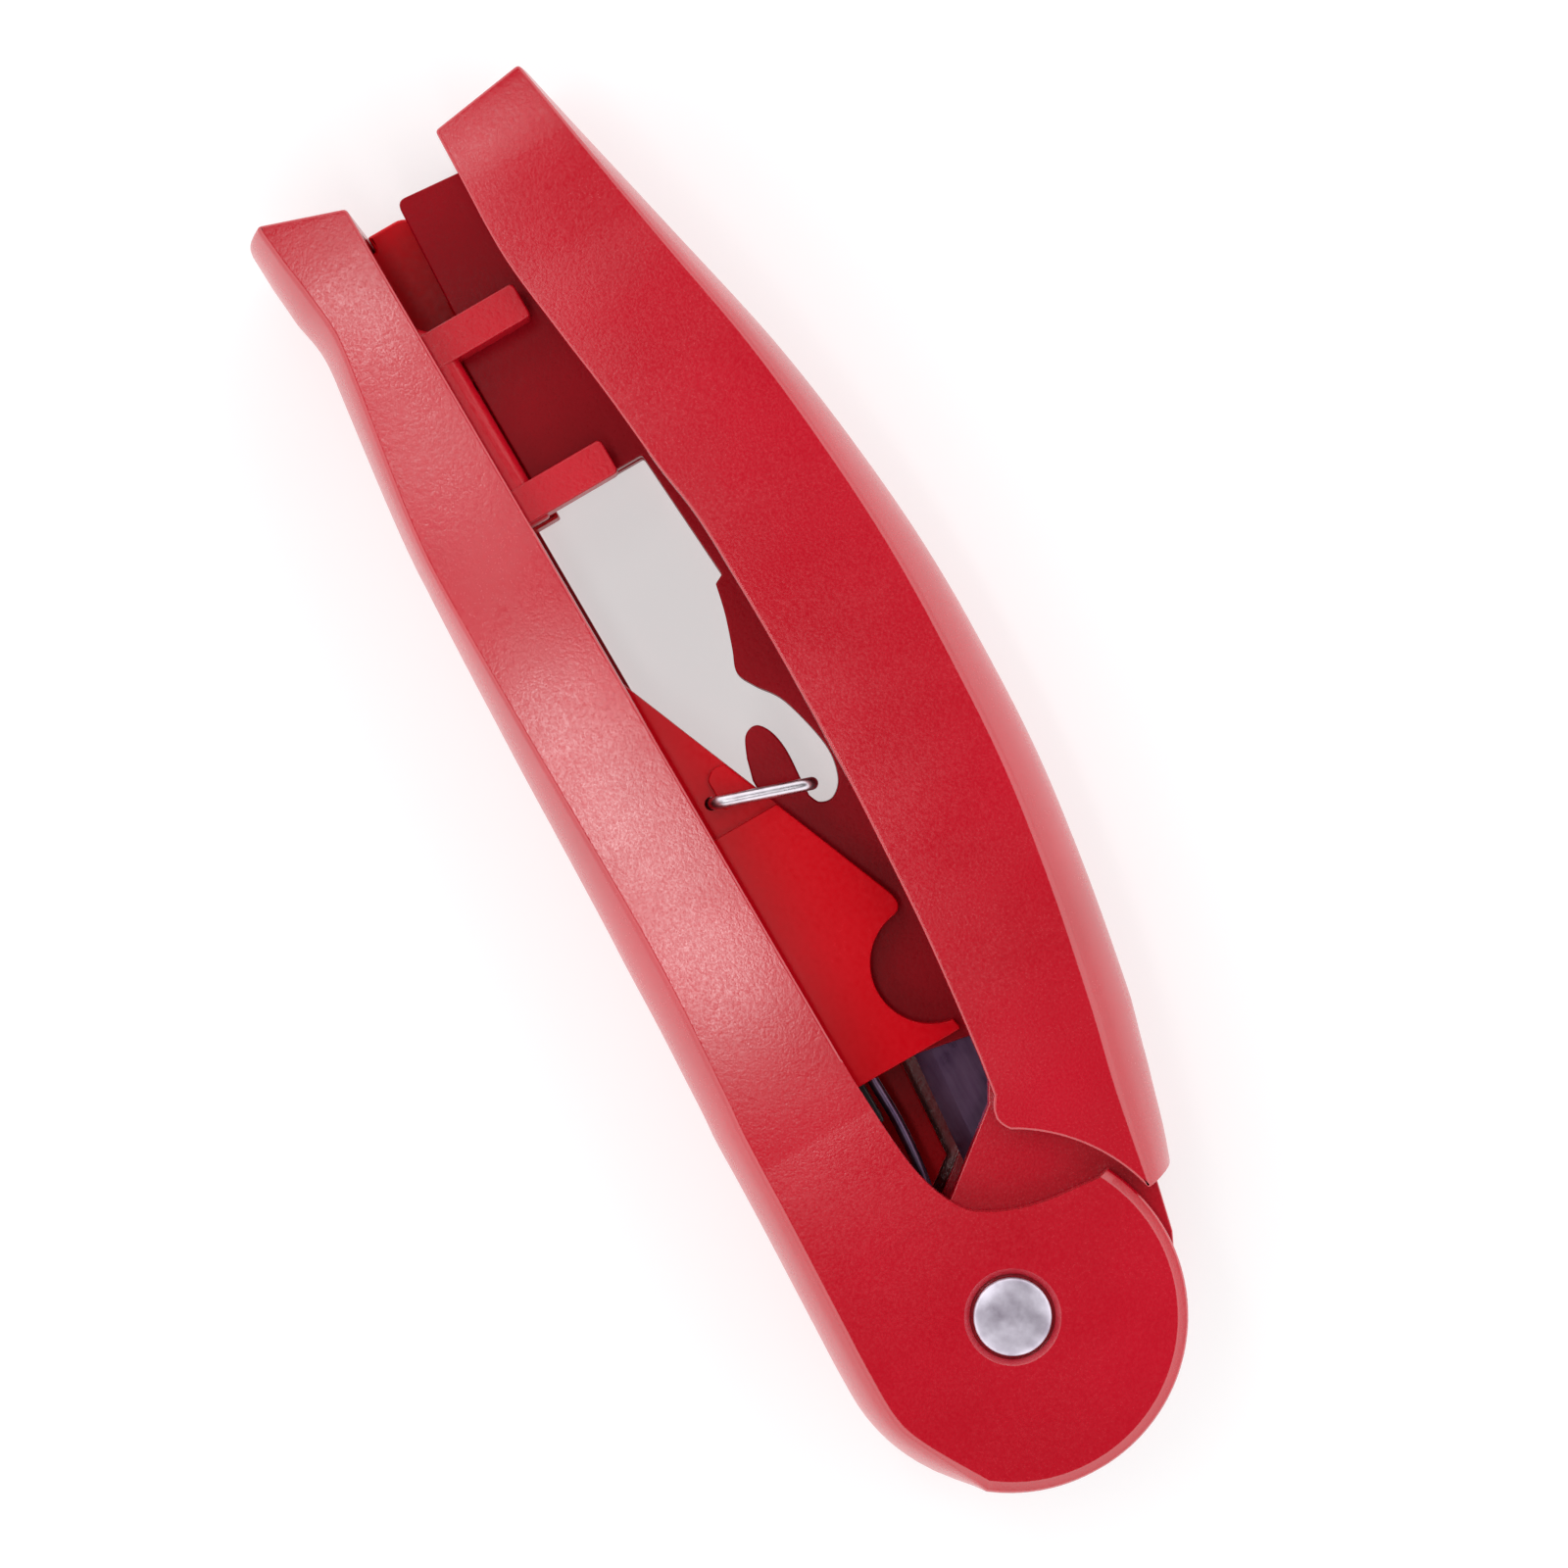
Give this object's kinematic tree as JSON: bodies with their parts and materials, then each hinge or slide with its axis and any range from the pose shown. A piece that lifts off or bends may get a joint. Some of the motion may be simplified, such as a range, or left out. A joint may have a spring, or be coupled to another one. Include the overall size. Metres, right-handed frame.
{
  "type": "hand squeeze cutter",
  "caption": "Red plastic squeeze tool: hinged channel handles, blade carrier, notched hose cradle, domed hinge rivet and a wire bail latch.",
  "frame": {"origin": "under the middle of the outline's bounding box, on the far side face the tool lies on", "axes": "+X runs from the free ends of the handles to the hinge; +Y from the lower handle to the upper one; +Z out of the near side face"},
  "size_m": [0.1456, 0.0488, 0.022],
  "materials": {
    "handle_red": "satin, fine moulded grain",
    "handle_red_upper": "satin, fine moulded grain",
    "insert_red": "grained faces, smooth edges",
    "insert_red_rear": "moulded gloss",
    "cradle_red": "moulded gloss",
    "cradle_red_rear": "moulded gloss",
    "anvil_black": "moulded",
    "pin_steel": "drawn pin",
    "rivet_steel": "domed and polished, lightly scuffed",
    "washer_steel": "plain",
    "bush_black": "moulded",
    "spring_steel": "drawn wire",
    "carrier_red": "moulded grain",
    "carrier_red_rear": "moulded grain",
    "blade_steel": "ground edge, tempered grey",
    "spacer_black": "moulded",
    "screw_steel": "plated",
    "bail_steel": "bright drawn wire"
  },
  "bodies": {
    "lower": {"lower_handle_shell": "handle_red", "lower_insert_front": "insert_red", "lower_insert_rear": "insert_red_rear", "cradle_plate_front": "cradle_red", "cradle_plate_rear": "cradle_red_rear", "cutting_anvil": "anvil_black", "cradle_pin_1": "pin_steel", "cradle_pin_2": "pin_steel", "hinge_rivet": "rivet_steel", "rivet_washer": "washer_steel", "hinge_bush": "bush_black", "torsion_spring": "spring_steel"},
    "upper": {"upper_handle_shell": "handle_red_upper", "blade_carrier_front": "carrier_red", "blade_carrier_rear": "carrier_red_rear", "blade": "blade_steel", "blade_spacer": "spacer_black", "spring_flange": "spacer_black", "carrier_screw_1": "screw_steel", "carrier_screw_2": "screw_steel", "carrier_screw_3": "screw_steel"},
    "latch": {"latch_bail": "bail_steel"}
  },
  "joints": [
    {"name": "handle", "type": "hinge", "parent": "lower", "child": "upper", "pos_m": [0.05579, -0.00649, 0.011], "axis": [0, 0, -1], "range_deg": [-1.2, 50]},
    {"name": "latch", "type": "hinge", "parent": "lower", "child": "latch", "pos_m": [-0.00171, -0.00679, 0.011], "axis": [0, 0, 1], "range_deg": [0, 100]}
  ]
}
